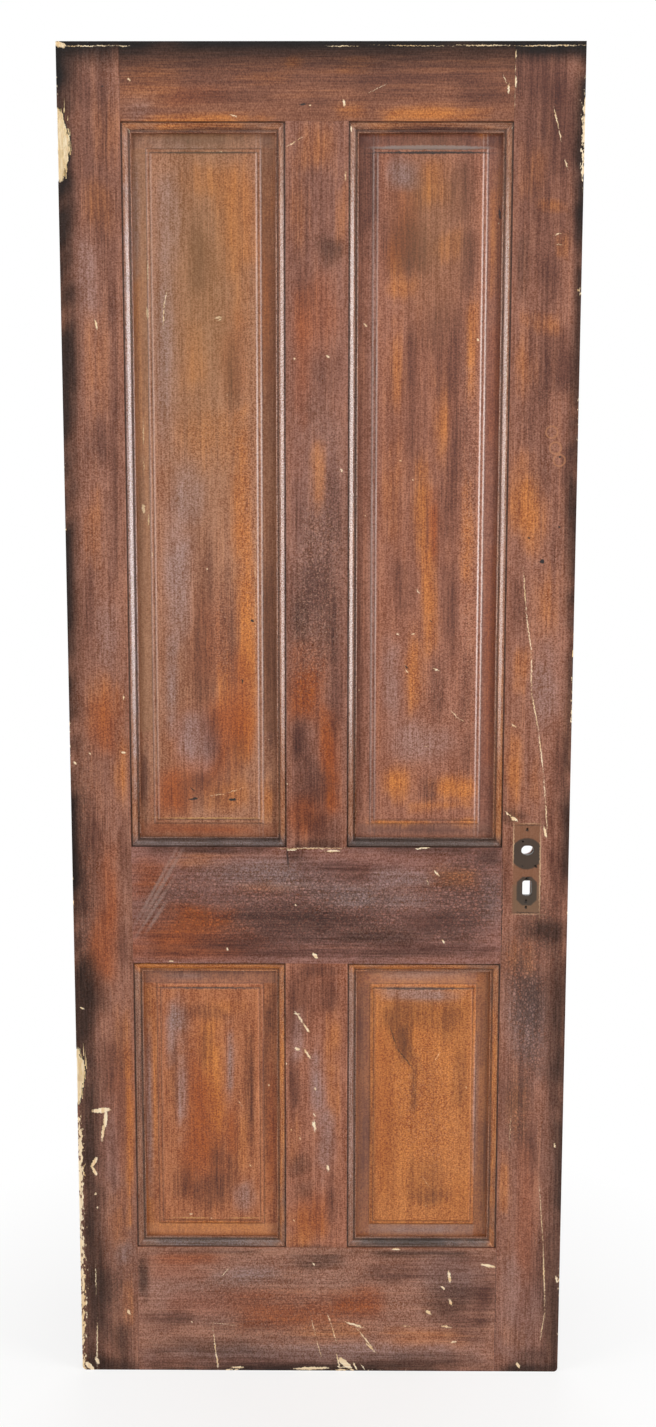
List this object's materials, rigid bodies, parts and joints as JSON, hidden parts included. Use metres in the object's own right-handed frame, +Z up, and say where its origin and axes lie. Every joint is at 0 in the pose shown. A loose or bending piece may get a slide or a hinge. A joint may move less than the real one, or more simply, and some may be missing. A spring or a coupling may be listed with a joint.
{
  "type": "panel door leaf",
  "caption": "Salvaged interior door leaf of varnished wood: stiles, rails and muntins hold raised panels framed by mitred mouldings; hinges, knob and lock have been removed.",
  "frame": {"origin": "middle of the leaf's bottom edge, half way through its thickness", "axes": "+Z up the leaf, +X from the hinge edge to the lock edge, -Y out of the face on the stop side"},
  "size_m": [0.762, 0.035, 2.032],
  "materials": {
    "frame_varnish": "worn varnish",
    "tall_panel_varnish": "worn varnish",
    "short_panel_varnish": "worn varnish",
    "moulding_varnish": "worn varnish",
    "wedge_wood": "bare end grain"
  },
  "bodies": {
    "root": {"hinge_stile": "frame_varnish", "lock_stile": "frame_varnish", "top_rail": "frame_varnish", "lock_rail": "frame_varnish", "bottom_rail": "frame_varnish", "upper_muntin": "frame_varnish", "lower_muntin": "frame_varnish", "hinge_edge_wedges": "wedge_wood", "lock_edge_wedges": "wedge_wood", "upper_hinge_panel": "tall_panel_varnish", "upper_lock_panel": "tall_panel_varnish", "lower_hinge_panel": "short_panel_varnish", "lower_lock_panel": "short_panel_varnish", "front_upper_hinge_bottom_moulding": "moulding_varnish", "front_upper_hinge_lock_side_moulding": "moulding_varnish", "front_upper_hinge_top_moulding": "moulding_varnish", "front_upper_hinge_hinge_side_moulding": "moulding_varnish", "back_upper_hinge_bottom_moulding": "moulding_varnish", "back_upper_hinge_lock_side_moulding": "moulding_varnish", "back_upper_hinge_top_moulding": "moulding_varnish", "back_upper_hinge_hinge_side_moulding": "moulding_varnish", "front_upper_lock_bottom_moulding": "moulding_varnish", "front_upper_lock_lock_side_moulding": "moulding_varnish", "front_upper_lock_top_moulding": "moulding_varnish", "front_upper_lock_hinge_side_moulding": "moulding_varnish", "back_upper_lock_bottom_moulding": "moulding_varnish", "back_upper_lock_lock_side_moulding": "moulding_varnish", "back_upper_lock_top_moulding": "moulding_varnish", "back_upper_lock_hinge_side_moulding": "moulding_varnish", "front_lower_hinge_bottom_moulding": "moulding_varnish", "front_lower_hinge_lock_side_moulding": "moulding_varnish", "front_lower_hinge_top_moulding": "moulding_varnish", "front_lower_hinge_hinge_side_moulding": "moulding_varnish", "back_lower_hinge_bottom_moulding": "moulding_varnish", "back_lower_hinge_lock_side_moulding": "moulding_varnish", "back_lower_hinge_top_moulding": "moulding_varnish", "back_lower_hinge_hinge_side_moulding": "moulding_varnish", "front_lower_lock_bottom_moulding": "moulding_varnish", "front_lower_lock_lock_side_moulding": "moulding_varnish", "front_lower_lock_top_moulding": "moulding_varnish", "front_lower_lock_hinge_side_moulding": "moulding_varnish", "back_lower_lock_bottom_moulding": "moulding_varnish", "back_lower_lock_lock_side_moulding": "moulding_varnish", "back_lower_lock_top_moulding": "moulding_varnish", "back_lower_lock_hinge_side_moulding": "moulding_varnish"}
  },
  "joints": []
}
